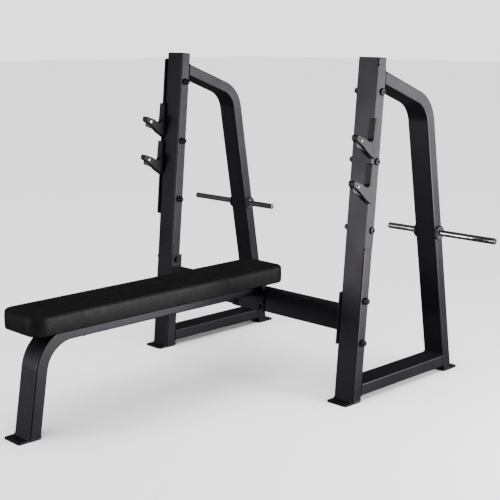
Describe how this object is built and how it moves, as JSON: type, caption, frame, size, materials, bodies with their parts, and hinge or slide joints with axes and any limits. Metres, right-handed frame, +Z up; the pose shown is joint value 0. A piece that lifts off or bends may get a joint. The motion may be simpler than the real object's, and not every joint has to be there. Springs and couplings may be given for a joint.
{
  "type": "olympic bench press",
  "caption": "Flat Olympic bench press with a black upholstered pad, side frames of bent rectangular tube, paired bar catches and chrome plate storage rods.",
  "frame": {"origin": "on the floor, in the middle of the footprint", "axes": "+Y from the user's feet towards the head and the storage rods, +Z up, X along the crossbar"},
  "size_m": [1.77, 1.88, 1.3498],
  "materials": {
    "frame_paint": "satin charcoal powder coat with a fine metallic grain",
    "black_fasteners": "black zinc",
    "bright_screws": "bright zinc",
    "chrome": "polished hard chrome",
    "collar_rubber": "matte black",
    "guard_plastic": "fine moulded grain",
    "cap_plastic": "moulded, slightly rough",
    "vinyl": "black upholstery vinyl with a fine grain",
    "pad_base": "dark grey, matte"
  },
  "bodies": {
    "root": {"base_rail_left": "frame_paint", "base_rail_right": "frame_paint", "catch_bolts": "black_fasteners", "catch_nuts": "black_fasteners", "catch_plate_left": "frame_paint", "catch_plate_right": "frame_paint", "catch_washers": "black_fasteners", "crossbar": "frame_paint", "crossbar_bolts": "black_fasteners", "crossbar_nuts": "black_fasteners", "crossbar_plate_left": "frame_paint", "crossbar_plate_right": "frame_paint", "crossbar_washers": "black_fasteners", "flange_bolts": "black_fasteners", "flange_nuts": "black_fasteners", "flange_washers": "black_fasteners", "front_foot": "frame_paint", "guard_nuts": "bright_screws", "guard_screws": "bright_screws", "horn_collars": "collar_rubber", "horn_left": "chrome", "horn_right": "chrome", "lower_guard_left": "guard_plastic", "lower_guard_right": "guard_plastic", "pad_board": "pad_base", "pad_bolts": "black_fasteners", "pad_cushion": "vinyl", "pad_washers": "black_fasteners", "rear_foot_left": "frame_paint", "rear_foot_right": "frame_paint", "rear_hoop_left": "frame_paint", "rear_hoop_right": "frame_paint", "seat_flange": "frame_paint", "seat_rail": "frame_paint", "upper_guard_left": "guard_plastic", "upper_guard_right": "guard_plastic", "upright_caps": "cap_plastic", "upright_foot_left": "frame_paint", "upright_foot_right": "frame_paint", "upright_left": "frame_paint", "upright_right": "frame_paint"}
  },
  "joints": []
}
